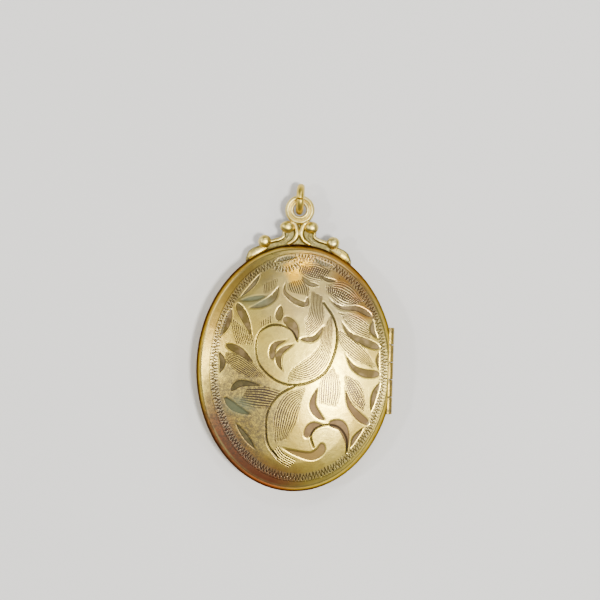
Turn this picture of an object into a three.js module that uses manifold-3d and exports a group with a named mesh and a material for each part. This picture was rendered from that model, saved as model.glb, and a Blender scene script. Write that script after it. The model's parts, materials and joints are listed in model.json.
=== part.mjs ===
// Oval hinged locket with a scroll crest and a jump ring.
// It lies on its back: +X towards the hinge, +Y towards the jump ring, +Z out of the front cover.
// The origin is the middle of the flat panel of the back cover. Units are millimetres.
import * as THREE from "three";
import { mergeVertices } from "three/addons/utils/BufferGeometryUtils.js";
import Module from "manifold-3d";

const wasm = await Module();
wasm.setup();

// ---------------------------------------------------------------- driving dimensions

// Case
const HALF_WIDTH = 12.8;
const HALF_LENGTH = 16;
const HALF_DEPTH = 3.5; // from the parting plane to the apex of either cover
const SKIN = 0.45; // sheet thickness of the covers
const SIDE_INSET = 0.65; // how far the rounded side leans in before the crease
const SIDE_HEIGHT = 1.6; // height of the crease over the parting plane
const PANEL_RATIO = 0.42; // flat panel of the back, as a share of the dome's radius
const PARTING_Z = HALF_DEPTH;
const PARTING_GAP = 0.04; // half of the hairline between the two halves
const ROUND_CORE = 0.7 * HALF_WIDTH; // inside this radius the case's ellipses keep one shape

// Hinge
const KNUCKLE_RADIUS = 0.6;
const BORE_RADIUS = 0.28;
const PIN_RADIUS = 0.22;
const HINGE_SETBACK = 0.08; // how far the knuckles stay inside the case's full width
const HINGE_X = HALF_WIDTH - KNUCKLE_RADIUS - HINGE_SETBACK;
const HINGE_HALF_LENGTH = 5.6;
const KNUCKLE_GAP = 0.05;
const KNUCKLE_NAMES = [
  "back_knuckle_lower",
  "front_knuckle_lower",
  "back_knuckle_middle",
  "front_knuckle_upper",
  "back_knuckle_upper",
];
const SEAT_CLEARANCE = 0.06;
const FLAT_SETBACK = 0.05;
const FLAT_X = HINGE_X - FLAT_SETBACK; // the outer face of both covers beside the hinge

// Inside of the case: insets from the case outline, heights from the parting plane
const RIM_INSET = 0.5;
const LID_RIM = { outer: RIM_INSET, inner: 0.86, low: 0.06, high: 0.75 };
const FLANGE = { outer: 0.95, inner: 1.25, root: 0.3, high: 0.68 };
const FLANGE_OPEN_HALF_LENGTH = 6.2; // the flange is cut away over this length at the hinge
const SEAT_TAPER = 0.16; // the rims follow the lean of the cover's side
const CATCH_RADIUS = 0.14;
const CATCH_LENGTH = 1.6;
const CATCH_PROUD = 0.06;
const CATCH_ROOM = 0.1; // round the pip, in the lid's rim
const SOLDER_GAP = 0.03;

// Photo recesses: a frame, a window and a card, one behind the other from a start height
const FRAME_THICKNESS = 0.24;
const WINDOW_THICKNESS = 0.14;
const CARD_THICKNESS = 0.12;
const RECESS_GAP = 0.04;
const FRONT_RECESS = { start: 0.8, frameOuter: 0.92, frameInner: 2.2, window: 1.5, card: 1.6 };
const BACK_RECESS = { start: 0.36, frameOuter: 1.32, frameInner: 2.5, window: 1.34, card: 1.34 };

// Crest, eye and jump ring
const EYE_Y = 20.5;
const EYE_Z = 2.9;
const EYE_RING_RADIUS = 1.4;
const EYE_WIRE_RADIUS = 0.55;
const JUMP_RING_RADIUS = 1.55;
const JUMP_WIRE_RADIUS = 0.5;
const JUMP_RING_HANG = 0.45; // the jump ring hangs this far below the eye's wire
const JUMP_SEAM = 0.08;
const CREST_BOTTOM = 2.15;
const CREST_TOP = 3.15;
const CREST_BEVEL = 0.14;
const CREST_CASE_GAP = 0.05;
const SCROLL_WIRE_RADIUS = 0.3;
const UPPER_BALL = { x: 1.56, y: 18.25, z: 3.0, radius: 0.84 };
const LOWER_BALL = { x: 4.44, y: 16.3, z: 2.95, radius: 0.84 };

// Facets
const OVAL_STEPS = 72;
const DOME_STEPS = 6;
const SIDE_STEPS = 3;
const KNUCKLE_STEPS = 24;
const PIN_STEPS = 16;
const BALL_STEPS = { around: 16, down: 10 };
const PIP_STEPS = { cap: 4, around: 12 };
const EYE_STEPS = { wire: 12, around: 32 };
const JUMP_RING_STEPS = { wire: 12, around: 36 };
const RIDGE_STEPS = { wire: 8, along: 14 };
const CREST_CURVE_STEPS = 5;

const PAST = 1; // cutting shapes reach this far past what they cut

// ---------------------------------------------------------------- solids

/** A closed geometry as a solid: shared vertices merged, faces turned outwards. */
function solid(geometry) {
  const bare = geometry.clone();
  bare.deleteAttribute("normal");
  bare.deleteAttribute("uv");
  const merged = mergeVertices(bare, 1e-4);
  const corners = [];
  const index = merged.index.array;
  for (let i = 0; i < index.length; i += 3) {
    const [a, b, c] = index.slice(i, i + 3);
    if (a !== b && b !== c && c !== a) corners.push(a, b, c);
  }
  const make = (triVerts) =>
    new wasm.Manifold(
      new wasm.Mesh({
        numProp: 3,
        vertProperties: merged.attributes.position.array,
        triVerts,
      }),
    );
  const made = make(new Uint32Array(corners));
  return made.volume() < 0 ? make(new Uint32Array(corners.reverse())) : made;
}

/** A solid back as a geometry that three.js draws. */
function geometryOf(made) {
  const mesh = made.getMesh();
  const geometry = new THREE.BufferGeometry();
  geometry.setAttribute("position", new THREE.BufferAttribute(mesh.vertProperties, 3));
  geometry.setIndex(new THREE.BufferAttribute(mesh.triVerts, 1));
  geometry.computeVertexNormals();
  return geometry;
}

function box(low, high) {
  const size = new THREE.Vector3(...high).sub(new THREE.Vector3(...low));
  const geometry = new THREE.BoxGeometry(size.x, size.y, size.z);
  geometry.translate(low[0] + size.x / 2, low[1] + size.y / 2, low[2] + size.z / 2);
  return solid(geometry);
}

function ball({ x, y, z, radius }, extra = 0) {
  const geometry = new THREE.SphereGeometry(radius + extra, BALL_STEPS.around, BALL_STEPS.down);
  geometry.translate(x, y, z);
  return solid(geometry);
}

/** A round bar along Y. */
function barAlongY(radius, x, z, halfLength, steps) {
  const geometry = new THREE.CylinderGeometry(radius, radius, 2 * halfLength, steps);
  geometry.translate(x, 0, z);
  return solid(geometry);
}

/**
 * Turns an outline of [inset, height] pairs, from the axis to the axis, round the case's oval,
 * so that every level is an ellipse at the same inset from the case outline all the way round,
 * and files it flat beside the hinge at the inset given.
 */
function ovalBlock(outline, flatInset) {
  const points = outline.map(([inset, height]) => new THREE.Vector2(HALF_WIDTH - inset, height));
  const geometry = new THREE.LatheGeometry(points, OVAL_STEPS);
  geometry.rotateX(Math.PI / 2);
  const longer = HALF_LENGTH - HALF_WIDTH;
  const position = geometry.attributes.position;
  for (let i = 0; i < position.count; i += 1) {
    const radius = Math.max(ROUND_CORE, Math.hypot(position.getX(i), position.getY(i)));
    position.setY(i, (position.getY(i) * (radius + longer)) / radius);
  }
  const reach = 2 * HALF_LENGTH;
  const kept = box([-reach, -reach, -reach], [FLAT_X - flatInset, reach, reach]);
  return solid(geometry).intersect(kept);
}

/** A flat oval plate between two heights. */
function ovalPlate(inset, low, high) {
  const outline = [
    [HALF_WIDTH, low],
    [inset, low],
    [inset, high],
    [HALF_WIDTH, high],
  ];
  return ovalBlock(outline, inset);
}

/** A flat oval ring between two insets and two heights. */
function ovalRing(outer, inner, low, high) {
  return ovalPlate(outer, low, high).subtract(ovalPlate(inner, low - PAST, high + PAST));
}

// ---------------------------------------------------------------- covers

/** Height of a cover's outside over the parting plane, at a share of the dome's radius. */
function domeHeight(share, panelRatio) {
  const fall = Math.max(0, (share - panelRatio) / (1 - panelRatio));
  return HALF_DEPTH - (HALF_DEPTH - SIDE_HEIGHT) * fall ** 2;
}

/** Outline of a cover's outside, or of its inside when thickness is the sheet's. */
function coverOutline(panelRatio, thickness) {
  const start = thickness > 0 ? -PAST : PARTING_GAP; // the inside is open at the parting plane
  const outline = [
    [HALF_WIDTH, start],
    [thickness, start],
  ];
  const crease = SIDE_HEIGHT - thickness;
  for (let step = 1; step <= SIDE_STEPS; step += 1) {
    const height = (crease * step) / SIDE_STEPS;
    outline.push([thickness + SIDE_INSET * (height / SIDE_HEIGHT) ** 2, height]);
  }
  const domeRadius = HALF_WIDTH - SIDE_INSET;
  const firstShare = thickness > 0 ? 1 - thickness / domeRadius : 1;
  for (let step = thickness > 0 ? 0 : 1; step < DOME_STEPS; step += 1) {
    const share = firstShare * (1 - (step / DOME_STEPS) * (1 - panelRatio));
    outline.push([HALF_WIDTH - share * domeRadius, domeHeight(share, panelRatio) - thickness]);
  }
  if (panelRatio > 0) {
    const panelRadius = panelRatio * domeRadius;
    outline.push([HALF_WIDTH - panelRadius, HALF_DEPTH - thickness]);
  }
  outline.push([HALF_WIDTH, HALF_DEPTH - thickness]);
  return outline;
}

/** The room that the knuckles turn in. */
function hingeSeat() {
  const halfLength = HINGE_HALF_LENGTH + SEAT_CLEARANCE;
  return barAlongY(KNUCKLE_RADIUS + SEAT_CLEARANCE, HINGE_X, 0, halfLength, KNUCKLE_STEPS);
}

/** A cover as a lid over the parting plane: the back is the same thing turned over. */
function cover(panelRatio) {
  const outside = ovalBlock(coverOutline(panelRatio, 0), 0);
  const inside = ovalBlock(coverOutline(panelRatio, SKIN), SKIN);
  return outside.subtract(inside).subtract(hingeSeat());
}

// ---------------------------------------------------------------- inner rims and catch

/** The catch pip lies along the flange, on the side away from the hinge. */
function catchPip(extra) {
  const radius = CATCH_RADIUS + extra;
  const straight = CATCH_LENGTH - 2 * CATCH_RADIUS;
  const geometry = new THREE.CapsuleGeometry(radius, straight, PIP_STEPS.cap, PIP_STEPS.around);
  const x = -(HALF_WIDTH - FLANGE.outer + CATCH_PROUD - CATCH_RADIUS);
  geometry.translate(x, 0, FLANGE.high / 2);
  return solid(geometry);
}

/** Solid oval whose side leans in with the cover's side from low to high. */
function leaningBlock(low, high) {
  const outline = [
    [HALF_WIDTH, low],
    [RIM_INSET, low],
    [RIM_INSET + SEAT_TAPER, high],
    [HALF_WIDTH, high],
  ];
  return ovalBlock(outline, RIM_INSET);
}

function frontInnerRim() {
  const { inner, low, high } = LID_RIM;
  return leaningBlock(low, high)
    .subtract(ovalPlate(inner, low - PAST, high + PAST))
    .subtract(hingeSeat())
    .subtract(catchPip(CATCH_ROOM));
}

/** The back's rim, turned over: heights below the parting plane are positive here. */
function backInnerRimBase() {
  return leaningBlock(LID_RIM.low, LID_RIM.high)
    .subtract(ovalPlate(FLANGE.inner, 0, PAST))
    .subtract(hingeSeat());
}

/** The closing flange stands up from the back's rim and stops short of the hinge. */
function closingFlange() {
  const { outer, inner, root, high } = FLANGE;
  const open = box(
    [HINGE_X / 2, -FLANGE_OPEN_HALF_LENGTH, -PARTING_GAP],
    [HALF_WIDTH, FLANGE_OPEN_HALF_LENGTH, PAST],
  );
  return ovalRing(outer, inner, -root, high).subtract(open).subtract(catchPip(SOLDER_GAP));
}

// ---------------------------------------------------------------- hinge

/** One knuckle: a tube round the hinge axis between two places along it. */
function knuckle(from, to) {
  const outline = [
    [BORE_RADIUS, from],
    [KNUCKLE_RADIUS, from],
    [KNUCKLE_RADIUS, to],
    [BORE_RADIUS, to],
    [BORE_RADIUS, from],
  ].map(([radius, along]) => new THREE.Vector2(radius, along));
  const geometry = new THREE.LatheGeometry(outline, KNUCKLE_STEPS);
  geometry.translate(HINGE_X, 0, PARTING_Z);
  return solid(geometry);
}

function hingePin() {
  const halfLength = HINGE_HALF_LENGTH - KNUCKLE_GAP;
  return barAlongY(PIN_RADIUS, HINGE_X, PARTING_Z, halfLength, PIN_STEPS);
}

// ---------------------------------------------------------------- crest, eye and jump ring

/** A round bar along a curve, closed at both ends. */
function barAlong(curve, radius, steps, sides) {
  const section = new THREE.Shape(
    new THREE.EllipseCurve(0, 0, radius, radius).getPoints(sides).slice(0, sides),
  );
  return solid(new THREE.ExtrudeGeometry(section, { extrudePath: curve, steps, bevelEnabled: false }));
}

function eyeTorus(extra) {
  const wire = EYE_WIRE_RADIUS + extra;
  const geometry = new THREE.TorusGeometry(EYE_RING_RADIUS, wire, EYE_STEPS.wire, EYE_STEPS.around);
  geometry.translate(0, EYE_Y, EYE_Z);
  return solid(geometry);
}

/** Right half of the crest's outline: neck, scroll flaring to the lower ball, leaf along the rim. */
function crestOutline() {
  const shape = new THREE.Shape();
  shape.moveTo(0, 13.6);
  shape.lineTo(6.9, 13.6);
  shape.bezierCurveTo(7.35, 13.55, 7.6, 13.95, 7.25, 14.3);
  shape.bezierCurveTo(6.7, 14.95, 6.0, 15.35, 5.25, 15.6);
  shape.lineTo(4.9, 16.3);
  shape.bezierCurveTo(4.5, 17.1, 3.7, 17.0, 3.3, 16.75);
  shape.bezierCurveTo(2.5, 16.5, 1.6, 16.6, 1.35, 17.3);
  shape.lineTo(1.5, 18.6);
  shape.lineTo(0.9, 19.0);
  shape.lineTo(0, 19.0);
  return shape;
}

/** Ridge of the C-scroll, from the upper ball in to the neck and out to the lower ball. */
function scrollCurve() {
  const underUpperBall = [UPPER_BALL.x - 0.3, UPPER_BALL.y - 0.5];
  const besideLowerBall = [LOWER_BALL.x - 0.5, LOWER_BALL.y + 0.1];
  const route = [underUpperBall, [0.75, 17.35], [1, 16.75], [2, 16.2], [3.1, 16.15], besideLowerBall];
  return new THREE.CatmullRomCurve3(route.map(([x, y]) => new THREE.Vector3(x, y, CREST_TOP)));
}

/** The right half, which reaches a little past the middle so that the two halves join. */
function crestHalf() {
  const geometry = new THREE.ExtrudeGeometry(crestOutline(), {
    depth: CREST_TOP - CREST_BOTTOM - 2 * CREST_BEVEL,
    bevelThickness: CREST_BEVEL,
    bevelSize: CREST_BEVEL,
    bevelOffset: -CREST_BEVEL,
    bevelSegments: 1,
    curveSegments: CREST_CURVE_STEPS,
  });
  geometry.translate(-CREST_BEVEL, 0, CREST_BOTTOM + CREST_BEVEL);
  const ridge = barAlong(scrollCurve(), SCROLL_WIRE_RADIUS, RIDGE_STEPS.along, RIDGE_STEPS.wire);
  return solid(geometry).add(ridge);
}

function crestPlate() {
  const half = crestHalf();
  const caseRoom = ovalBlock(
    [
      [HALF_WIDTH, -PAST],
      [-CREST_CASE_GAP, -PAST],
      [-CREST_CASE_GAP, 2 * HALF_DEPTH],
      [HALF_WIDTH, 2 * HALF_DEPTH],
    ],
    -CREST_CASE_GAP,
  );
  let plate = half.add(half.mirror([1, 0, 0])).subtract(caseRoom).subtract(eyeTorus(SOLDER_GAP));
  for (const side of [-1, 1]) {
    for (const end of [UPPER_BALL, LOWER_BALL]) {
      plate = plate.subtract(ball({ ...end, x: side * end.x }, SOLDER_GAP));
    }
  }
  return plate;
}

/** The jump ring stands across the eye and hangs from its wire, with its saw cut at the top. */
function jumpRing() {
  const seamAngle = JUMP_SEAM / JUMP_RING_RADIUS;
  const centreZ = EYE_Z - JUMP_RING_HANG;
  class RingPath extends THREE.Curve {
    getPoint(share, target = new THREE.Vector3()) {
      const angle = Math.PI / 2 + seamAngle / 2 + share * (2 * Math.PI - seamAngle);
      const y = EYE_Y + EYE_RING_RADIUS + JUMP_RING_RADIUS * Math.cos(angle);
      return target.set(0, y, centreZ + JUMP_RING_RADIUS * Math.sin(angle));
    }
  }
  return barAlong(new RingPath(), JUMP_WIRE_RADIUS, JUMP_RING_STEPS.around, JUMP_RING_STEPS.wire);
}

// ---------------------------------------------------------------- materials

function metal(color, roughness) {
  return new THREE.MeshStandardMaterial({ color, roughness, metalness: 1 });
}

const engravedGold = () => metal(0xc9ac78, 0.32);
const plainGold = () => metal(0xc2a068, 0.28);
const innerGold = () => metal(0xb89862, 0.4);
const crestGold = () => metal(0xb9a77f, 0.42);
const ringGold = () => metal(0xc7a463, 0.25);
const steel = () => metal(0x8d8f92, 0.35);
const card = () => new THREE.MeshStandardMaterial({ color: 0xd8cdb4, roughness: 0.9, metalness: 0 });

function celluloid() {
  return new THREE.MeshStandardMaterial({
    color: 0xe9e2cf,
    roughness: 0.12,
    metalness: 0,
    transparent: true,
    opacity: 0.35,
  });
}

// ---------------------------------------------------------------- assembly

const locket = new THREE.Group();
locket.name = "locket";

/** Names a solid, gives it a material and puts it in a group. */
function place(group, name, made, material) {
  const mesh = new THREE.Mesh(geometryOf(made), material);
  mesh.name = name;
  group.add(mesh);
}

/** Frame, window and blank card of one half, stacked away from the parting plane. */
function placePhotoRecess(half, side, recess, turned) {
  const windowLow = recess.start + FRAME_THICKNESS + RECESS_GAP;
  const cardLow = windowLow + WINDOW_THICKNESS + RECESS_GAP;
  const { start, frameOuter, frameInner } = recess;
  const frame = ovalRing(frameOuter, frameInner, start, start + FRAME_THICKNESS);
  const pane = ovalPlate(recess.window, windowLow, windowLow + WINDOW_THICKNESS);
  const blank = ovalPlate(recess.card, cardLow, cardLow + CARD_THICKNESS);
  place(half, `${side}_photo_frame`, turned(frame), innerGold());
  place(half, `${side}_window`, turned(pane), celluloid());
  place(half, `${side}_photo_card`, turned(blank), card());
}

/** Heights over the parting plane. */
function frontHalf() {
  const half = new THREE.Group();
  half.position.z = PARTING_Z;
  place(half, "front_cover", cover(0), engravedGold());
  place(half, "front_inner_rim", frontInnerRim(), innerGold());
  placePhotoRecess(half, "front", FRONT_RECESS, (made) => made);
  return half;
}

/** Turned over about X, so heights here run down from the parting plane. */
function backHalf() {
  const half = new THREE.Group();
  half.position.z = PARTING_Z;
  const flip = (made) => made.mirror([0, 0, 1]);
  const rim = flip(backInnerRimBase()).add(closingFlange());
  place(half, "back_cover", flip(cover(PANEL_RATIO)), plainGold());
  place(half, "back_inner_rim", rim, innerGold());
  place(half, "catch_pip", catchPip(0), innerGold());
  placePhotoRecess(half, "back", BACK_RECESS, flip);
  return half;
}

function hinge() {
  const group = new THREE.Group();
  const count = KNUCKLE_NAMES.length;
  const pitch = (2 * HINGE_HALF_LENGTH + KNUCKLE_GAP) / count;
  KNUCKLE_NAMES.forEach((name, index) => {
    const from = -HINGE_HALF_LENGTH + index * pitch;
    place(group, name, knuckle(from, from + pitch - KNUCKLE_GAP), plainGold());
  });
  place(group, "hinge_pin", hingePin(), steel());
  return group;
}

function crest() {
  const group = new THREE.Group();
  place(group, "crest_plate", crestPlate(), crestGold());
  const balls = { upper: UPPER_BALL, lower: LOWER_BALL };
  const sides = { left: -1, right: 1 };
  for (const [level, end] of Object.entries(balls)) {
    for (const [side, sign] of Object.entries(sides)) {
      place(group, `crest_ball_${level}_${side}`, ball({ ...end, x: sign * end.x }), crestGold());
    }
  }
  place(group, "bail_eye", eyeTorus(0), crestGold());
  place(group, "jump_ring", jumpRing(), ringGold());
  return group;
}

locket.add(frontHalf(), backHalf(), hinge(), crest());

export default locket;
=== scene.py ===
"""Looks of an oval engraved locket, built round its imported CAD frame.

Lengths are in millimetres in the CAD frame until a mesh, light or camera is made: MM turns them
into metres. The case is an oval: every level of it is an ellipse at one inset from the case
outline, so most shapes here are outlines of (inset, height) pairs swept round that oval. Heights
in outlines are from the parting plane, where the two halves of the case meet.
"""

import json
import math

import bpy
import numpy as np
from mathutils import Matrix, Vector

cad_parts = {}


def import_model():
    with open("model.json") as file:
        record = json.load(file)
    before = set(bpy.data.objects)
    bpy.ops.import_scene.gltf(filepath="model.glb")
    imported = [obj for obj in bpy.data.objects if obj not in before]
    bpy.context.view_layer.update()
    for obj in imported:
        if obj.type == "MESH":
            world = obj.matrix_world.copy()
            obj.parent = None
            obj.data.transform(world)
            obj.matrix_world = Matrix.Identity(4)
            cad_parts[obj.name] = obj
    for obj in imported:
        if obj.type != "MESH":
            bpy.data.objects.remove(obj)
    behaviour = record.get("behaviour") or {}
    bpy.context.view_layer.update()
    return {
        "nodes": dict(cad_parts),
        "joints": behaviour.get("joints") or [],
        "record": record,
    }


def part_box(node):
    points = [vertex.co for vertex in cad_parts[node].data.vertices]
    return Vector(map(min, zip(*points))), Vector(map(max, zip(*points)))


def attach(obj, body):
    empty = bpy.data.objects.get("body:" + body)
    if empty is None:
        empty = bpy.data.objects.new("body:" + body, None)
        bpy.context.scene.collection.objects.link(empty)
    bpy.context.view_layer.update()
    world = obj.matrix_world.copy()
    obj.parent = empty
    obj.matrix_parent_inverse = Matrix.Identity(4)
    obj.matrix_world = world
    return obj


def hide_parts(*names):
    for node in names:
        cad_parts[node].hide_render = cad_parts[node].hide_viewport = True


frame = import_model()

MM = 0.001


# ------------------------------------------------------------------ sizes from the frame

def node_box(name):
    """Lowest and highest corner of a CAD node, in millimetres."""
    low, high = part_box(name)
    return np.array(low) / MM, np.array(high) / MM


def node_span(name):
    """Middle and size of a CAD node, in millimetres."""
    low, high = node_box(name)
    return (low + high) / 2, high - low


def joint_place(name):
    joint = next(row for row in frame["joints"] if row["name"] == name)
    return np.array(joint["pos_m"]) / MM


COVER_LOW, COVER_HIGH = node_box("front_cover")
HALF_WIDTH = -COVER_LOW[0]
HALF_LENGTH = COVER_HIGH[1]
FLAT_X = COVER_HIGH[0]
HINGE_X, _, PARTING_Z = joint_place("lid_hinge")
HALF_DEPTH = COVER_HIGH[2] - PARTING_Z
LONGER = HALF_LENGTH - HALF_WIDTH
ROUND_CORE = 0.7 * HALF_WIDTH

# The stamped sheet: its thickness, how far the side leans in, where the crease above the side is,
# how much of the back's dome is flat, and the gap from the parting plane to each half.
SKIN = 0.45
SIDE_INSET = 0.65
SIDE_HEIGHT = 1.6
PANEL_RATIO = 0.42
HAIRLINE = 0.04
DOME_RADIUS = HALF_WIDTH - SIDE_INSET

KNUCKLES = [name for name in frame["nodes"] if "knuckle" in name]
KNUCKLE_RADIUS = node_span("back_knuckle_lower")[1][2] / 2
HINGE_HALF_LENGTH = -node_box("back_knuckle_lower")[0][1]
SEAT_RADIUS = KNUCKLE_RADIUS + 0.06
SEAT_END_GAP = 0.05
FLAT_SOFTNESS = 0.1


# ------------------------------------------------------------------ meshes

CORNER_POINTS = 4


def signed_volume(points, triangles):
    a, b, c = (points[triangles[:, i]] for i in range(3))
    return float(np.einsum("ij,ij->i", a, np.cross(b, c)).sum()) / 6


def mesh_piece(name, points, quads, triangles=None, turn_out=True):
    """A new object from points in millimetres, with the faces of a closed mesh turned out."""
    points = np.asarray(points, float)
    quads = np.asarray(quads, int).reshape(-1, 4)
    triangles = np.asarray([] if triangles is None else triangles, int).reshape(-1, 3)
    halves = np.concatenate([triangles, quads[:, [0, 1, 2]], quads[:, [0, 2, 3]]])
    if turn_out and signed_volume(points, halves) < 0:
        quads = quads[:, ::-1]
        triangles = triangles[:, ::-1]
    mesh = bpy.data.meshes.new(name)
    mesh.vertices.add(len(points))
    mesh.vertices.foreach_set("co", (points * MM).astype(np.float32).ravel())
    corners = np.concatenate([quads.ravel(), triangles.ravel()])
    sizes = np.concatenate([np.full(len(quads), 4), np.full(len(triangles), 3)])
    mesh.loops.add(len(corners))
    mesh.loops.foreach_set("vertex_index", corners.astype(np.int32))
    mesh.polygons.add(len(sizes))
    starts = np.concatenate([[0], np.cumsum(sizes)[:-1]])
    mesh.polygons.foreach_set("loop_start", starts.astype(np.int32))
    mesh.polygons.foreach_set("use_smooth", np.full(len(sizes), True))
    mesh.update(calc_edges=True)
    mesh.validate()
    made = bpy.data.objects.new(name, mesh)
    bpy.context.scene.collection.objects.link(made)
    return made


def add_attribute(piece, name, values):
    layer = piece.data.attributes.new(name, "FLOAT", "POINT")
    layer.data.foreach_set("value", np.asarray(values, np.float32).ravel())


def smooth_min(a, b, softness):
    blend = np.clip(0.5 + 0.5 * (b - a) / softness, 0, 1)
    return b + (a - b) * blend - softness * blend * (1 - blend)


def smooth_step(values, low, high):
    share = np.clip((values - low) / (high - low), 0, 1)
    return share * share * (3 - 2 * share)


def rounded(corners, radius):
    """A closed outline with its corners rounded by short curves."""
    corners = np.asarray(corners, float)
    made = []
    for i, corner in enumerate(corners):
        ends = []
        for beside in (corners[i - 1], corners[(i + 1) % len(corners)]):
            away = np.linalg.norm(beside - corner)
            ends.append(corner + (beside - corner) * min(radius, away / 2) / away)
        for share in np.linspace(0, 1, CORNER_POINTS):
            bend = 2 * share * (1 - share) * corner
            made.append((1 - share) ** 2 * ends[0] + bend + share**2 * ends[1])
    return np.array(made)


# ------------------------------------------------------------------ the oval

def oval_xy(radius, angle):
    """The point at an angle on the ellipse whose half width is radius."""
    wide = np.maximum(radius, ROUND_CORE)
    return radius * np.cos(angle), radius * np.sin(angle) * (wide + LONGER) / wide


def filed_flat(x, inset):
    """Both covers, and what is inside them, are flat beside the hinge."""
    return smooth_min(x, FLAT_X - inset, FLAT_SOFTNESS)


def seat_clear(points, clearance=0.0):
    """Pushes points out of the round seat that the hinge knuckles turn in."""
    points = points.copy()
    across = points[:, 0] - HINGE_X
    up = points[:, 2] - PARTING_Z
    reach = SEAT_RADIUS + clearance
    distance = np.maximum(np.hypot(across, up), 1e-6)
    inside = (distance < reach) & (np.abs(points[:, 1]) < HINGE_HALF_LENGTH + SEAT_END_GAP)
    push = np.where(inside, reach / distance, 1)
    points[:, 0] = HINGE_X + across * push
    points[:, 2] = PARTING_Z + up * push
    return points


def ring_points(inset, height, angles, flat_inset=None):
    x, y = oval_xy(HALF_WIDTH - inset, angles)
    x = filed_flat(x, inset if flat_inset is None else flat_inset)
    return np.stack([x, y, np.full_like(x, PARTING_Z + height)], axis=1)


def ring_quads(first, second, count):
    here = np.arange(count)
    after = (here + 1) % count
    return np.stack([first + here, first + after, second + after, second + here], axis=1)


def ring_shape(rings, ends=None):
    """Joins rings of points into a closed shape: points, four-sided and three-sided faces.

    Without ends the last ring meets the first. With two end points a fan closes each end.
    """
    count, columns = len(rings), len(rings[0])
    spans = count - 1 if ends else count
    quads = [ring_quads(i * columns, (i + 1) % count * columns, columns) for i in range(spans)]
    points = np.concatenate(rings)
    if not ends:
        return points, np.concatenate(quads), None
    points = np.concatenate([points, ends])
    here = np.arange(columns)
    after = (here + 1) % columns
    first_fan = np.stack([np.full(columns, len(points) - 2), after, here], axis=1)
    start = (count - 1) * columns
    last_fan = np.stack([np.full(columns, len(points) - 1), start + here, start + after], axis=1)
    return points, np.concatenate(quads), np.concatenate([first_fan, last_fan])


def oval_ring(outline, columns=360):
    """A ring swept round the oval from a closed outline of (inset, height) pairs."""
    angles = np.linspace(0, 2 * math.pi, columns, endpoint=False)
    return ring_shape([ring_points(inset, height, angles) for inset, height in outline])


def oval_plate(inset, low, high, columns=240):
    """A thin oval plate with rounded edges, between two heights."""
    angles = np.linspace(0, 2 * math.pi, columns, endpoint=False)
    round_off = 0.4 * (high - low)
    flat_from = inset + 3 * round_off
    edge = [
        (HALF_WIDTH / 2, low), (inset + 1, low), (flat_from, low), (inset + round_off, low),
        (inset, low + round_off), (inset, high - round_off), (inset + round_off, high),
        (flat_from, high), (inset + 1, high), (HALF_WIDTH / 2, high),
    ]
    rings = [ring_points(place, height, angles) for place, height in edge]
    return ring_shape(rings, [[0, 0, PARTING_Z + low], [0, 0, PARTING_Z + high]])


def lathe(outline, centre, axis, columns=64, ring=False):
    """Turns an outline of (radius, along) pairs round an axis through centre.

    A ring's outline is closed. Any other outline starts and ends on the axis.
    """
    angles = np.linspace(0, 2 * math.pi, columns, endpoint=False)
    body = outline if ring else outline[1:-1]
    order = {"z": [0, 1, 2], "y": [1, 2, 0]}[axis]
    rings = []
    for radius, along in body:
        sideways = radius * np.stack([np.cos(angles), np.sin(angles)], axis=1)
        local = np.column_stack([sideways, np.full(columns, along)])
        rings.append(local[:, order] + centre)
    if ring:
        return ring_shape(rings)
    ends = [np.array([0, 0, along])[order] + centre for _, along in (outline[0], outline[-1])]
    return ring_shape(rings, ends)


def tube(path, radii, across, sides=20):
    """A round bar along a flat path; across is the direction square to the path's plane."""
    path = np.asarray(path, float)
    along = np.gradient(path, axis=0)
    along /= np.linalg.norm(along, axis=1)[:, None]
    normal = np.cross(across, along)
    angles = np.linspace(0, 2 * math.pi, sides, endpoint=False)
    rings = []
    for place, out, radius in zip(path, normal, radii):
        rings.append(place + radius * (np.outer(np.cos(angles), out) + np.outer(np.sin(angles), across)))
    return ring_shape(rings, [path[0], path[-1]])


def mirrored(shape):
    points, quads, triangles = shape
    flipped = points * np.array([-1, 1, 1])
    return flipped, quads[:, ::-1], triangles if triangles is None else triangles[:, ::-1]


def fused(name, shapes, voxel, smoothing):
    """Melts closed shapes into one smooth casting.

    The rough mesh is 1 / MM times too large, so that one of its units is a millimetre.
    """
    points, quads, triangles = [], [], []
    count = 0
    for part in shapes:
        points.append(part[0])
        quads.append(part[1] + count)
        if part[2] is not None:
            triangles.append(part[2] + count)
        count += len(part[0])
    faces = np.concatenate(quads), np.concatenate(triangles)
    rough = mesh_piece(name + "_rough", np.concatenate(points) / MM, *faces, turn_out=False)
    melt = rough.modifiers.new("melt", "REMESH")
    melt.mode = "VOXEL"
    melt.voxel_size = voxel
    soften = rough.modifiers.new("soften", "SMOOTH")
    soften.iterations = smoothing
    melted = rough.evaluated_get(bpy.context.evaluated_depsgraph_get()).to_mesh()
    made = np.empty(len(melted.vertices) * 3, np.float32)
    melted.vertices.foreach_get("co", made)
    corners = np.empty(len(melted.loops), np.int32)
    melted.loops.foreach_get("vertex_index", corners)
    piece = mesh_piece(name, made.reshape(-1, 3), corners.reshape(-1, 4))
    bpy.data.objects.remove(rough)
    return piece


# ------------------------------------------------------------------ engraving

def curve_through(points, samples):
    """A smooth curve through given points (Catmull-Rom), evenly sampled by parameter."""
    points = np.asarray(points, float)
    ends = np.concatenate([[2 * points[0] - points[1]], points, [2 * points[-1] - points[-2]]])
    spans = len(points) - 1
    place = np.linspace(0, spans, samples)
    span = np.minimum(place.astype(int), spans - 1)
    t = (place - span)[:, None]
    p0, p1, p2, p3 = (ends[span + i] for i in range(4))
    bend = (2 * p0 - 5 * p1 + 4 * p2 - p3) * t**2 + (3 * p1 - p0 - 3 * p2 + p3) * t**3
    return 0.5 * (2 * p1 + (p2 - p0) * t + bend)


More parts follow.
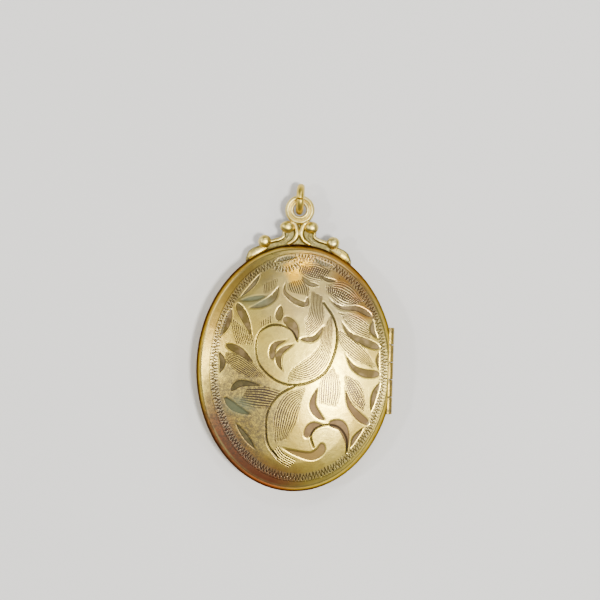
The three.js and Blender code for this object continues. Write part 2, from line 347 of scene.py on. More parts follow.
# A leaf cut: its spine from the pointed tip to the base, its width, where along the spine it is
# widest, how sharp its ends are, and how green its floor has gone.
LEAVES = [
    # upper left, along the border and beside the hook
    ([(-4.7, 12.2), (-5.7, 10.6), (-7.6, 8.6)], 0.74, 0.5, 2.0, 0.4),
    ([(-2.3, 10.6), (-3.1, 9.0), (-4.7, 8.0), (-6.5, 7.5)], 1.08, 0.45, 2.0, 0.2),
    ([(-3.7, 9.3), (-5.4, 8.9), (-7.5, 8.5)], 0.72, 0.5, 2.0, 0.6),
    ([(-5.5, 3.6), (-6.6, 6.2), (-7.7, 8.1)], 1.28, 0.65, 1.5, 0.0),
    ([(-9.9, 3.6), (-9.0, 5.3), (-8.4, 7.4)], 1.15, 0.6, 1.6, 0.0),
    ([(-5.1, 0.4), (-7.1, 2.0), (-9.0, 2.8)], 1.2, 0.6, 1.6, 0.0),
    ([(-9.9, 2.0), (-9.3, 0.5), (-9.7, -1.0)], 0.96, 0.5, 2.0, 0.2),
    # lower left
    ([(-3.7, -2.4), (-6.8, -2.1), (-8.2, -3.1)], 1.08, 0.6, 1.7, 0.3),
    ([(-5.2, -6.2), (-7.5, -5.3), (-9.0, -4.0)], 1.14, 0.6, 1.7, 1.0),
    ([(-7.5, -7.1), (-6.1, -8.9), (-4.6, -10.7)], 0.84, 0.5, 2.0, 0.5),
    # top
    ([(-3.1, 13.6), (-1.7, 14.1), (0.1, 14.4)], 0.72, 0.5, 2.0, 0.5),
    ([(1.8, 14.4), (3.1, 13.6), (4.7, 13.3)], 0.78, 0.5, 2.0, 0.4),
    ([(0.3, 12.1), (1.4, 11.0), (2.9, 10.7)], 0.78, 0.55, 1.8, 0.3),
    ([(2.6, 12.2), (3.8, 11.5), (5.1, 11.4)], 0.72, 0.55, 1.8, 0.2),
    ([(-1.5, 11.4), (-1.6, 9.8), (-0.3, 8.7), (1.1, 8.3), (1.4, 9.3)], 0.9, 0.6, 1.6, 0.1),
    # inside and round the main spiral
    ([(-2.0, 8.2), (-2.15, 7.3), (-2.3, 6.3)], 1.21, 0.72, 1.4, 0.0),
    ([(0.3, 3.4), (-0.3, 5.3), (-1.5, 6.4)], 1.43, 0.68, 1.4, 0.0),
    ([(3.7, 5.9), (2.4, 4.0), (0.5, 3.8)], 0.9, 0.6, 1.6, 0.1),
    ([(-0.7, 3.8), (-2.7, 2.9), (-3.0, 1.2)], 1.08, 0.72, 1.4, 0.0),
    ([(0.0, 3.3), (-1.9, 2.1), (-2.1, 0.7), (-1.4, -0.6)], 1.02, 0.45, 2.0, 0.0),
    # right
    ([(3.5, 9.8), (5.4, 8.1), (7.8, 7.9), (9.6, 7.0)], 0.96, 0.75, 1.5, 0.1),
    ([(5.5, 6.9), (6.8, 4.7), (8.8, 3.7), (10.7, 3.0)], 1.2, 0.75, 1.5, 0.1),
    ([(6.1, 2.8), (7.3, 0.6), (8.9, -0.3), (10.8, -0.4)], 1.26, 0.75, 1.5, 0.0),
    ([(6.4, -1.4), (7.0, -4.1), (8.2, -5.7), (9.6, -6.8)], 1.21, 0.75, 1.4, 0.0),
    ([(3.1, -2.0), (2.4, -4.4), (3.1, -5.8), (4.2, -6.6)], 1.14, 0.5, 2.0, 0.0),
    ([(9.9, 6.7), (9.8, 5.2), (10.6, 4.1)], 0.84, 0.5, 2.0, 0.2),
    ([(10.8, 2.8), (10.6, 1.3), (10.9, -0.1)], 0.54, 0.5, 2.0, 0.0),
    ([(9.9, -5.5), (10.3, -3.1), (11.1, -1.3)], 0.9, 0.5, 2.0, 0.0),
    ([(9.2, -7.2), (8.0, -8.7), (7.4, -10.1)], 0.72, 0.5, 2.0, 0.2),
    # bottom
    ([(4.1, -7.1), (2.5, -7.3), (1.7, -8.6)], 1.35, 0.72, 1.4, 0.0),
    ([(7.1, -10.9), (6.9, -8.8), (6.2, -7.2), (4.8, -6.9)], 1.45, 0.72, 1.4, 0.0),
    ([(-1.9, -10.0), (0.3, -10.8), (2.4, -11.2), (3.6, -10.5), (3.8, -9.6)], 1.35, 0.68, 1.4, 0.1),
]

# Stems are thin cut lines.
STEMS = [
    [
        (3.4, 8.6), (4.8, 6.6), (5.3, 4.5), (5.0, 2.1), (3.9, -0.3), (1.8, -1.7), (-0.6, -2.1),
        (-2.7, -1.4), (-4.5, 0.3), (-5.1, 2.4), (-4.8, 4.3), (-3.5, 5.4), (-2.0, 5.5), (-0.5, 4.8),
        (0.2, 3.6),
    ],
    [(0.0, -2.2), (-2.0, -3.5), (-3.3, -5.6), (-3.5, -8.0), (-3.1, -10.0), (-1.9, -11.5)],
    [(7.0, -10.6), (6.9, -8.8), (5.9, -7.4), (4.4, -7.1), (2.9, -7.6), (2.3, -8.7), (2.7, -10.0)],
]
# A hatched patch: its first line, its last line, and how many lines it has from one to the other.
HATCHES = [
    # upper left
    ([(-8.1, 6.1), (-7.8, 4.5), (-7.3, 3.0)], [(-5.8, 4.3), (-5.6, 3.6), (-5.4, 2.9)], 9),
    ([(-4.3, 10.8), (-4.1, 9.5)], [(-2.8, 11.5), (-3.0, 10.1)], 7),
    ([(-4.5, 6.1), (-4.5, 5.2)], [(-3.4, 6.7), (-3.3, 5.7)], 5),
    ([(-1.1, 11.0), (-0.9, 10.2), (-0.6, 9.7)], [(0.5, 11.5), (1.1, 10.5), (1.3, 9.4)], 8),
    (
        [(-8.8, 1.7), (-7.2, 1.5), (-5.5, 0.4), (-4.1, -1.0)],
        [(-8.8, 0.6), (-7.6, -0.2), (-6.2, -1.0), (-5.6, -1.3)], 8,
    ),
    # upper right
    ([(0.9, 13.4), (2.4, 13.4), (3.9, 12.8)], [(0.4, 12.3), (1.4, 11.7), (2.9, 11.4)], 8),
    (
        [(3.8, 10.6), (5.3, 11.0), (6.8, 10.4), (8.2, 9.0)],
        [(4.0, 9.8), (4.9, 9.0), (5.9, 8.4), (7.1, 8.4)], 8,
    ),
    ([(1.9, 9.8), (1.9, 8.2), (1.7, 6.9), (1.1, 6.1)], [(3.1, 9.2), (3.3, 7.5), (3.0, 5.9), (1.6, 4.5)], 8),
    ([(5.4, 7.4), (6.9, 7.1), (8.3, 6.5), (9.6, 5.5)], [(5.6, 7.1), (6.6, 5.9), (7.9, 4.8), (9.4, 4.3)], 7),
    ([(5.4, 5.1), (7.1, 4.1), (8.6, 2.8), (10.2, 0.9)], [(5.4, 3.9), (6.2, 2.8), (7.7, 1.6), (9.7, 0.5)], 7),
    # inside the main spiral, and under it
    (
        [(3.3, 4.6), (3.2, 3.2), (2.4, 1.9), (1.4, 1.0), (0.0, 0.1)],
        [(4.5, 6.4), (4.5, 3.8), (4.2, 1.8), (3.5, 0.4), (2.2, -0.8), (-0.4, -1.4)], 8,
    ),
    (
        [(4.7, 0.2), (3.7, -1.1), (3.5, -2.7), (3.5, -4.2)],
        [(5.0, 0.2), (5.4, -1.0), (5.6, -2.7), (5.3, -4.5)], 8,
    ),
    (
        [(6.4, -1.4), (6.9, -2.8), (7.6, -4.0), (8.9, -5.0)],
        [(6.7, -0.7), (7.9, -1.5), (8.7, -2.6), (9.1, -3.8)], 7,
    ),
    # lower left
    (
        [(1.0, -2.6), (-0.9, -3.6), (-1.9, -5.4), (-2.2, -7.4), (-2.2, -9.2)],
        [(0.9, -4.2), (0.3, -5.5), (-0.1, -7.0), (-0.8, -8.8)], 8,
    ),
    ([(-1.9, -10.0), (-1.1, -11.0), (0.4, -11.8)], [(-2.6, -10.9), (-1.7, -11.9), (-0.4, -12.6)], 5),
    ([(-6.0, -2.9), (-3.9, -2.8), (-2.1, -3.2)], [(-6.8, -4.5), (-4.9, -4.8), (-3.1, -4.9)], 7),
]
# Lines cut across those of three of the patches.
CROSS_HATCHES = [
    ([(0.7, 13.3), (0.4, 12.3)], [(3.9, 12.9), (3.0, 11.5)], 12),
    ([(4.3, 10.8), (4.2, 9.6)], [(7.9, 9.2), (7.0, 8.5)], 14),
    ([(7.4, -1.2), (6.9, -2.6)], [(9.1, -3.8), (8.6, -4.9)], 11),
]

# How far a patch runs on past its first and last line, as a share of its width, and past the ends
# of its lines, as a share of their length.
HATCH_SPREAD = 0.16
HATCH_STRETCH = 0.07

# A leaf's wall starts to fall a little outside its edge. Cuts throw up burrs beside them.
LEAF_DEPTH = 0.045
LEAF_WALL = (-0.03, 0.17)
LEAF_BURR = 0.003
LEAF_BURR_WIDTH = 0.1
STEM_WIDTH = 0.3
STEM_DEPTH = 0.07
STEM_BURR = 0.008
STEM_BURR_WIDTH = 0.12

# The wriggle-cut border is an oval band, a little off the middle of the case. At the top left it
# leaves a short festoon below it, with teeth of its own.
BORDER_CENTRE = (0.5, 0.15)
BORDER_HALF_WIDTH = 11.5
BORDER_HALF_LENGTH = 14.7
BORDER_WIDTH = 1.15
BORDER_TEETH = 190
FESTOON = [(-3.5, 13.2), (-2.3, 12.7), (-1.1, 12.8), (0.0, 13.4), (0.6, 14.4)]
FESTOON_REACH = 0.45
FESTOON_PITCH = 0.42

# Field values of points that no cut is near.
FAR_FROM_LINE = 9.0
OUTSIDE = -1.0


def close_to(x, y, points, margin):
    """Which places are within a margin of the box round some points."""
    low = np.min(points, axis=0) - margin
    high = np.max(points, axis=0) + margin
    return (x > low[0]) & (x < high[0]) & (y > low[1]) & (y < high[1])


def leaf_distance(x, y, leaf):
    """Signed distance to a leaf's edge: positive inside."""
    spine, width, widest, sharpness, _ = leaf
    samples = 48
    curve = curve_through(spine, samples)
    tip = 0.004
    share = np.linspace(tip, 1 - tip, samples)
    profile = (share / widest) ** (sharpness * widest)
    profile = profile * ((1 - share) / (1 - widest)) ** (sharpness * (1 - widest))
    best = np.full(x.shape, -FAR_FROM_LINE)
    near = close_to(x, y, curve, width + 0.6)
    for (cx, cy), half in zip(curve, profile * width / 2):
        best[near] = np.maximum(best[near], half - np.hypot(x[near] - cx, y[near] - cy))
    return best


def line_distance(x, y, points):
    """Distance to a stem's centre line."""
    curve = curve_through(points, 16 * len(points))
    best = np.full(x.shape, FAR_FROM_LINE)
    for (ax, ay), (bx, by) in zip(curve[:-1], curve[1:]):
        length2 = (bx - ax) ** 2 + (by - ay) ** 2
        share = np.clip(((x - ax) * (bx - ax) + (y - ay) * (by - ay)) / length2, 0, 1)
        best = np.minimum(best, np.hypot(x - ax - share * (bx - ax), y - ay - share * (by - ay)))
    return best


def hatch_patch(x, y, patch):
    """How far inside one hatched patch each point is, in millimetres, and its place in lines."""
    first, last, lines = patch
    steps = 48
    start = curve_through(first, steps)
    end = curve_through(last, steps)
    part = np.linspace(0, 1, 24)
    grid = start[None] + part[:, None, None] * (end - start)[None]
    along = np.gradient(grid, axis=1) * (steps - 1)
    step = np.broadcast_to((end - start)[None], grid.shape)
    samples, along, step = (field.reshape(-1, 2) for field in (grid, along, step))
    s_at = np.tile(np.linspace(0, 1, steps), len(part))
    t_at = np.repeat(part, steps)
    here = np.stack([x, y], axis=1)
    nearest = np.empty(len(here), int)
    for chunk in np.array_split(np.arange(len(here)), len(here) // 2000 + 1):
        gaps = here[chunk][:, None] - samples[None]
        nearest[chunk] = (gaps**2).sum(axis=2).argmin(axis=1)
    gap = here - samples[nearest]
    (ax, ay), (bx, by) = along[nearest].T, step[nearest].T
    size = ax * by - ay * bx
    s_part = s_at[nearest] + (gap[:, 0] * by - gap[:, 1] * bx) / size
    t_part = t_at[nearest] + (ax * gap[:, 1] - ay * gap[:, 0]) / size
    past_edge = 0.5 / (lines - 1) + HATCH_SPREAD
    end_room = (np.minimum(s_part, 1 - s_part) + HATCH_STRETCH) * np.hypot(ax, ay)
    side_part = np.minimum(t_part + past_edge, 1 + past_edge - t_part)
    side_room = side_part * np.abs(size) / np.hypot(ax, ay)
    return np.minimum(end_room, side_room), t_part * (lines - 1)


def hatch_fields(x, y, patches):
    """The nearest patch's fields: how far inside it each point is, and its place in lines."""
    inside = np.full(x.shape, OUTSIDE)
    lines_at = np.zeros(x.shape)
    for patch in patches:
        near = np.flatnonzero(close_to(x, y, patch[0] + patch[1], 0.5))
        room, place = hatch_patch(x[near], y[near], patch)
        nearer = room > inside[near]
        inside[near[nearer]] = room[nearer]
        lines_at[near[nearer]] = place[nearer]
    return inside, lines_at


def border_fields(x, y):
    """Place along the border, in teeth, and across it, from 0 at its outer edge to 1."""
    dx, dy = x - BORDER_CENTRE[0], y - BORDER_CENTRE[1]
    angle = np.arctan2(dy / BORDER_HALF_LENGTH, dx / BORDER_HALF_WIDTH)
    scale = np.hypot(dx / BORDER_HALF_WIDTH, dy / BORDER_HALF_LENGTH)
    radius = np.hypot(BORDER_HALF_WIDTH * np.cos(angle), BORDER_HALF_LENGTH * np.sin(angle))
    across = (1 - scale) * radius / BORDER_WIDTH
    squash = (BORDER_HALF_LENGTH - BORDER_HALF_WIDTH) / (BORDER_HALF_LENGTH + BORDER_HALF_WIDTH)
    even = angle + 0.5 * squash * np.sin(2 * angle)
    tooth = even / (2 * math.pi) * BORDER_TEETH
    festoon = curve_through(FESTOON, 60)
    travel = np.concatenate([[0], np.cumsum(np.hypot(*np.diff(festoon, axis=0).T))])
    gaps = np.hypot(x[:, None] - festoon[None, :, 0], y[:, None] - festoon[None, :, 1])
    nearest = gaps.argmin(axis=1)
    reach = gaps.min(axis=1)
    below = (reach < FESTOON_REACH) & (across > 0.95) & (nearest > 0) & (nearest < len(festoon) - 1)
    tooth = np.where(below, travel[nearest] / FESTOON_PITCH, tooth)
    across = np.where(below, 0.5 + np.minimum(reach, 0.4), across)
    return tooth, across


def engraving(x, y):
    """All engraved fields at points of the front cover, by name, and the depth cut."""
    leaf = np.full(x.shape, -FAR_FROM_LINE)
    green = np.zeros(x.shape)
    for row in LEAVES:
        here = leaf_distance(x, y, row)
        green = np.where(here > leaf, row[4], green)
        leaf = np.maximum(leaf, here)
    stem = np.full(x.shape, FAR_FROM_LINE)
    for points in STEMS:
        stem = np.minimum(stem, line_distance(x, y, points))
    hatch_in, hatch_at = hatch_fields(x, y, HATCHES)
    cross_in, cross_at = hatch_fields(x, y, CROSS_HATCHES)
    tooth, across = border_fields(x, y)
    cut = LEAF_DEPTH * smooth_step(leaf, *LEAF_WALL)
    cut = np.maximum(cut, STEM_DEPTH * smooth_step(-stem, -STEM_WIDTH / 2, 0))
    beside_leaf = np.minimum(leaf + 0.04, 0)
    beside_stem = stem - STEM_WIDTH / 2 - 0.05
    burr = LEAF_BURR * np.exp(-((beside_leaf / LEAF_BURR_WIDTH) ** 2)) * (leaf < 0)
    burr = np.maximum(burr, STEM_BURR * np.exp(-((beside_stem / STEM_BURR_WIDTH) ** 2)))
    fields = {
        "leaf": leaf, "green": green, "stem": stem, "hatch_in": hatch_in, "hatch_at": hatch_at,
        "cross_in": cross_in, "cross_at": cross_at, "tooth": tooth, "across": across,
    }
    return fields, cut - burr


# ------------------------------------------------------------------ covers

LID_CELLS = 250
BACK_CELLS = 120
CREASE_STEP = 0.06
SIDE_STATIONS = [0.96, 0.88, 0.78, 0.66, 0.52, 0.38, 0.25, 0.14]
DOME_STATIONS = [0.985, 0.9, 0.75, 0.55, 0.3]
INSIDE_CLEARANCE = 0.12


def dome_height(share, panel_ratio):
    fall = np.maximum(0, (share - panel_ratio) / (1 - panel_ratio))
    return HALF_DEPTH - (HALF_DEPTH - SIDE_HEIGHT) * fall**2


def side_outline(thickness):
    """The rounded side from the crease down to the parting plane."""
    heights = (SIDE_HEIGHT - thickness) * np.array(SIDE_STATIONS)
    return [(thickness + SIDE_INSET * (h / SIDE_HEIGHT) ** 2, h) for h in heights]


def cap_shape(cells):
    """A square grid eased into the unit disc: radius and angle of each point."""
    side = np.linspace(-1, 1, cells + 1)
    u, v = np.meshgrid(side, side)
    x = u * np.sqrt(1 - v**2 / 2)
    y = v * np.sqrt(1 - u**2 / 2)
    return np.hypot(x, y).ravel(), np.arctan2(y, x).ravel()


def cap_border(cells):
    """Indices of the grid's edge points, once round."""
    grid = np.arange((cells + 1) ** 2).reshape(cells + 1, cells + 1)
    return np.concatenate([grid[0, :-1], grid[:-1, -1], grid[-1, :0:-1], grid[:0:-1, 0]])


def cap_quads(cells):
    grid = np.arange((cells + 1) ** 2).reshape(cells + 1, cells + 1)
    corners = [grid[:-1, :-1], grid[:-1, 1:], grid[1:, 1:], grid[1:, :-1]]
    return np.stack([part.ravel() for part in corners], axis=1)


def sheet_outlines(panel_ratio):
    """The sheet below the cap, outside and inside: rows of inset, height and the flat's inset."""
    lip = [(0.0, 0.12), (0.015, 0.06), (0.06, HAIRLINE), (SKIN - 0.06, HAIRLINE), (SKIN, 0.08)]
    outside = [(inset, height, 0) for inset, height in side_outline(0) + lip[:3]]
    inside = [(inset, height, SKIN) for inset, height in lip[3:] + side_outline(SKIN)[::-1]]
    for part in DOME_STATIONS:
        inset = HALF_WIDTH - part * (DOME_RADIUS - SKIN)
        height = dome_height(part * (DOME_RADIUS - SKIN) / DOME_RADIUS, panel_ratio) - SKIN
        inside.append((inset, float(height), SKIN))
    return outside, inside


def sheet_faces(cells, cap_count, ring_count):
    """The cap, the rings that follow it, and the fan that closes the inside."""
    border = cap_border(cells)
    columns = len(border)
    here = np.arange(columns)
    after = (here + 1) % columns
    joined = np.stack([border[here], border[after], cap_count + after, cap_count + here], axis=1)
    quads = [cap_quads(cells), joined[:, ::-1]]
    starts = [cap_count + i * columns for i in range(ring_count)]
    for first, second in zip(starts, starts[1:]):
        quads.append(ring_quads(first, second, columns)[:, ::-1])
    middle = starts[-1] + columns
    fan = np.stack([np.full(columns, middle), starts[-1] + here, starts[-1] + after], axis=1)
    return np.concatenate(quads), fan


def cover_piece(name, cells, panel_ratio, engraved):
    """A stamped cover as one closed sheet: a fine cap, the rounded side, the lip and the inside."""
    cap_radius = HALF_WIDTH - (SIDE_INSET + CREASE_STEP)
    share, angle = cap_shape(cells)
    x, y = oval_xy(share * cap_radius, angle)
    x = filed_flat(x, 0)
    height = dome_height(share * cap_radius / DOME_RADIUS, panel_ratio)
    fields = {}
    if engraved:
        fields, cut = engraving(x, y)
        height = height - cut
    cap = np.stack([x, y, PARTING_Z + height], axis=1)
    angles = angle[cap_border(cells)]
    outside, inside = sheet_outlines(panel_ratio)
    rings = [ring_points(inset, level, angles, flat) for inset, level, flat in outside + inside]
    outer = np.concatenate([cap, *rings[:len(outside)]])
    inner = np.concatenate([*rings[len(outside):], [[0, 0, PARTING_Z + HALF_DEPTH - SKIN]]])
    points = np.concatenate([seat_clear(outer), seat_clear(inner, INSIDE_CLEARANCE)])
    if panel_ratio:
        points[:, 2] = 2 * PARTING_Z - points[:, 2]
    piece = mesh_piece(name, points, *sheet_faces(cells, len(cap), len(rings)))
    for key, values in fields.items():
        away = {"leaf": -FAR_FROM_LINE, "stem": FAR_FROM_LINE}.get(key, OUTSIDE)
        whole = np.full(len(points), away)
        whole[: len(values)] = values
        add_attribute(piece, key, whole)
    return piece


# ------------------------------------------------------------------ materials

class Graph:
    """A material's node tree, with short ways to add nodes. Lengths in it are millimetres."""

    def __init__(self, name):
        self.material = bpy.data.materials.new(name)
        self.material.use_nodes = True
        self.tree = self.material.node_tree
        self.tree.nodes.clear()
        place = self.node("ShaderNodeTexCoord").outputs["Object"]
        scaled = self.node("ShaderNodeVectorMath", {0: place}, operation="SCALE")
        scaled.inputs["Scale"].default_value = 1 / MM
        self.place = scaled.outputs[0]

    def node(self, kind, inputs=None, **settings):
        made = self.tree.nodes.new(kind)
        for key, value in settings.items():
            setattr(made, key, value)
        for key, value in (inputs or {}).items():
            self.put(made.inputs[key], value)
        return made

    def put(self, socket, value):
        if isinstance(value, bpy.types.NodeSocket):
            self.tree.links.new(value, socket)
        else:
            socket.default_value = value

    def math(self, operation, a, b=0.0):
        return self.node("ShaderNodeMath", {0: a, 1: b}, operation=operation).outputs[0]

    def add(self, *values):
        total = values[0]
        for value in values[1:]:
            total = self.math("ADD", total, value)
        return total

    def times(self, *values):
        product = values[0]
        for value in values[1:]:
            product = self.math("MULTIPLY", product, value)
        return product

    def less(self, a, b):
        return self.math("SUBTRACT", a, b)

    def apart(self, a, b):
        return self.math("ABSOLUTE", self.less(a, b))

    def larger(self, a, b):
        return self.math("MAXIMUM", a, b)

    def ramp(self, value, low, high, start=0.0, end=1.0):
        """Eases from start to end as the value goes from low to high."""
        inputs = {"Value": value, "From Min": low, "From Max": high, "To Min": start, "To Max": end}
        return self.node("ShaderNodeMapRange", inputs, interpolation_type="SMOOTHSTEP").outputs[0]

    def fade(self, value, low, high):
        """1 below low, easing to 0 above high."""
        return self.ramp(value, low, high, 1.0, 0.0)

    def band(self, value, low, full, fading, high):
        """1 between full and fading, easing to 0 below low and above high."""
        return self.times(self.ramp(value, low, full), self.fade(value, fading, high))

    def mix(self, share, a, b):
        made = self.node("ShaderNodeMix", {0: share, 6: a, 7: b}, data_type="RGBA")
        return made.outputs[2]

    def tint(self, colour, towards, *shares):
        """Moves a colour towards another by the product of the shares."""
        return self.mix(self.times(*shares), colour, towards)

    def axis(self, letter):
        return self.node("ShaderNodeSeparateXYZ", {0: self.place}).outputs[letter]

    def attribute(self, name):
        return self.node("ShaderNodeAttribute", attribute_name=name).outputs["Fac"]

    def noise(self, scale, detail=3.0, roughness=0.5, stretch=(1, 1, 1), turn=0.0):
        """Noise of about one blob in 1 / scale millimetres."""
        mapping = self.node("ShaderNodeMapping", {"Vector": self.place, "Scale": stretch})
        mapping.inputs["Rotation"].default_value = (0, 0, math.radians(turn))
        inputs = {"Vector": mapping.outputs[0], "Scale": scale}
        inputs.update({"Detail": detail, "Roughness": roughness})
        return self.node("ShaderNodeTexNoise", inputs).outputs[0]

    def spot(self, centre, reach, soft, stretch=(1, 1), wobble=0.0):
        """1 inside a patch round a place on the cover, easing to 0 outside it."""
        start = (*centre, 0)
        offset = self.node("ShaderNodeVectorMath", {0: self.place, 1: start}, operation="SUBTRACT")
        inputs = {0: offset.outputs[0], 1: (1 / stretch[0], 1 / stretch[1], 0)}
        scaled = self.node("ShaderNodeVectorMath", inputs, operation="MULTIPLY")
        length = self.node("ShaderNodeVectorMath", {0: scaled.outputs[0]}, operation="LENGTH")
        length = length.outputs["Value"]
        if wobble:
            length = self.add(length, self.times(self.less(self.noise(0.5, 4), 0.5), wobble))
        return self.fade(length, reach - soft, reach + soft)

    def lines(self, place, width, soft):
        """Cut lines at whole numbers of place: 1 in a cut, 0 between cuts."""
        turn = self.math("FRACT", self.add(place, 0.5))
        return self.fade(self.apart(turn, 0.5), (width - soft) / 2, (width + soft) / 2)

    def bump(self, height, depth, normal=None):
        """Tilts the surface as if height, from 0 to 1, rose by depth millimetres."""
        made = self.node("ShaderNodeBump", {"Height": height, "Distance": depth * MM})
        if normal is not None:
            self.put(made.inputs["Normal"], normal)
        return made.outputs[0]

    def surface(self, **inputs):
        shader = self.node("ShaderNodeBsdfPrincipled")
        for key, value in inputs.items():
            self.put(shader.inputs[key.replace("_", " ")], value)
        self.node("ShaderNodeOutputMaterial", {"Surface": shader.outputs[0]})
        return self.material


def tone(red, green, blue):
    """A display colour, each channel 0 to 255, as linear RGBA."""
    def channel(value):
        share = value / 255
        return share / 12.92 if share <= 0.04045 else ((share + 0.055) / 1.055) ** 2.4
    return (channel(red), channel(green), channel(blue), 1.0)


GOLD = tone(216, 190, 88)
WARM_GOLD = tone(204, 172, 70)
PALE_GOLD = tone(218, 198, 122)
ROSE = tone(172, 92, 66)
# Colour of the painted reflection of a warm light at the top of the cover.
WARM_REFLECTION = tone(250, 186, 0)
AMBER = tone(158, 108, 40)
# Dark of the painted shade on the cover's rounded side.
PAINTED_SIDE_SHADE = tone(66, 54, 40)
TARNISH = tone(92, 82, 66)
SILVERY = tone(178, 168, 150)
DARK = tone(34, 26, 18)
LEAF_BROWN = tone(76, 60, 42)
LEAF_OLIVE = tone(84, 72, 40)
LEAF_LIGHT = tone(122, 102, 74)
LEAF_COPPER = tone(104, 78, 62)
LEAF_OCHRE = tone(120, 92, 46)
VERDIGRIS = tone(108, 114, 86)
HATCH_DARK = tone(58, 46, 44)
# Colour of the painted highlight beside the border's zigzag cut.
PAINTED_GLINT = tone(244, 228, 184)
EDGE_TINT = tone(150, 134, 106)
CREST_GRIME = tone(82, 78, 52)

CLEAR_SHEET = tone(250, 244, 226)
YELLOWED_SHEET = tone(240, 226, 190)
CARD = tone(214, 203, 176)
PALE_CARD = tone(226, 217, 194)
FOXING = tone(172, 138, 92)
STEEL = tone(150, 150, 152)
BRIGHT_STEEL = tone(180, 180, 182)
RUST = tone(112, 84, 62)
FLOOR = tone(226, 223, 217)
PALE_FLOOR = tone(232, 229, 223)


def scratches(graph, scale, turn):
    """Fine hairline scratches that run one way."""
    streak = graph.noise(scale, 2.0, 0.6, (1, 0.06, 1), turn)
    return graph.ramp(streak, 0.62, 0.74)


def worn_metal(name, base=GOLD, shade=WARM_GOLD, roughness=0.28, grime=0.5, scale=1.0):
    """Old gilt metal: mottled colour, tarnish in patches, hairline scratches and faint dents."""
    graph = Graph(name)
    mottle = graph.noise(0.35 * scale, 5.0, 0.6)
    fine = graph.noise(3.0 * scale, 4.0, 0.6)
    stain = graph.ramp(graph.add(mottle, graph.times(fine, 0.25)), 0.62, 0.85)
    colour = graph.mix(graph.ramp(fine, 0.35, 0.7), base, shade)
    colour = graph.tint(colour, TARNISH, stain, grime)
    marks = graph.add(scratches(graph, 4.0 * scale, 25), scratches(graph, 5.0 * scale, -50))
    level = graph.add(roughness, graph.times(stain, 0.16), graph.times(fine, 0.1))
    normal = graph.bump(mottle, 0.03)
    normal = graph.bump(fine, 0.004, normal)
    normal = graph.bump(marks, -0.002, normal)
    return graph.surface(Base_Color=colour, Metallic=1.0, Roughness=level, Normal=normal)


def polished_ground(graph, mottle, fine, speck):
    """The engraved cover's polished gold, with its hazy, dark and silvery areas."""
    haze = graph.ramp(graph.noise(0.9, 4.0, 0.65), 0.48, 0.7)
    dark_right = graph.spot((6.5, 9.5), 5.5, 3.0, (1, 1.1), 3.0)
    silvery_top = graph.spot((2.5, 10.5), 7.0, 3.0, (1.2, 0.8), 3.0)
    colour = graph.mix(graph.ramp(mottle, 0.35, 0.7), GOLD, WARM_GOLD)
    colour = graph.tint(colour, TARNISH, graph.ramp(fine, 0.45, 0.8), 0.35)
    colour = graph.tint(colour, TARNISH, graph.ramp(speck, 0.52, 0.72), 0.22)
    colour = graph.tint(colour, TARNISH, haze, 0.25)
    colour = graph.tint(colour, TARNISH, dark_right, 0.3)
    return graph.tint(colour, SILVERY, silvery_top, 0.24)


def worn_rim(graph, colour):
    """Rose where the rim has worn at the lower left, amber along the rim at its upper corners, a painted
    reflection of a warm light at the top and stains beside it.
    """
    rim = graph.less(1.0, graph.spot((0.6, 0.2), 11.0, 1.4, (0.95, 1.22), 1.0))
    low_left = graph.spot((-6.5, -12.0), 7.5, 3.0, wobble=3.0)
    right_top = graph.spot((5.0, 13.5), 5.0, 2.5, (1.2, 1), 2.0)
    left_top = graph.spot((-9.0, 9.0), 5.0, 2.5, (1, 1.4), 2.0)
    amber = graph.add(graph.times(right_top, 0.7), graph.times(left_top, 0.45))
    # Painted reflection of a warm light, in two patches at the top of the cover.
    upper_warm_reflection = graph.spot((0.4, 13.6), 1.1, 0.8, (1.1, 0.9), 2.0)
    lower_warm_reflection = graph.spot((-0.4, 12.4), 1.1, 0.8, (0.9, 1.3), 2.0)
    colour = graph.tint(colour, ROSE, rim, low_left, 0.9)
    colour = graph.tint(colour, AMBER, rim, amber)
    colour = graph.tint(colour, WARM_REFLECTION, graph.larger(upper_warm_reflection, lower_warm_reflection), 0.95)
    for centre in ((6.2, 11.5), (8.0, 9.6), (8.6, 7.6)):
        colour = graph.tint(colour, AMBER, graph.spot(centre, 1.3, 0.9, (1.2, 0.9), 2.4), 0.75)
    return colour


def side_shade_and_crease_highlight(graph, colour, mottle):
    """Painted shade on the rounded side, as if it reflected something dark, less of it towards the hinge,
    and a painted highlight along the crease above it.
    """
    level = graph.axis("Z")
    side = graph.band(level, PARTING_Z + 0.1, PARTING_Z + 0.4, PARTING_Z + 0.8, PARTING_Z + 1.56)
    towards_hinge = graph.ramp(graph.axis("X"), 2.0, 9.0, 0.92, 0.5)
    crease = graph.fade(graph.apart(level, PARTING_Z + SIDE_HEIGHT), 0.02, 0.1)
    # Painted shade: the rounded side darkened as if it reflected something dark, less towards the hinge.
    colour = graph.tint(colour, PAINTED_SIDE_SHADE, side, towards_hinge)
    # Painted highlight along the crease above the side.
    return graph.tint(colour, PALE_GOLD, crease, graph.ramp(mottle, 0.35, 0.6), 0.5)


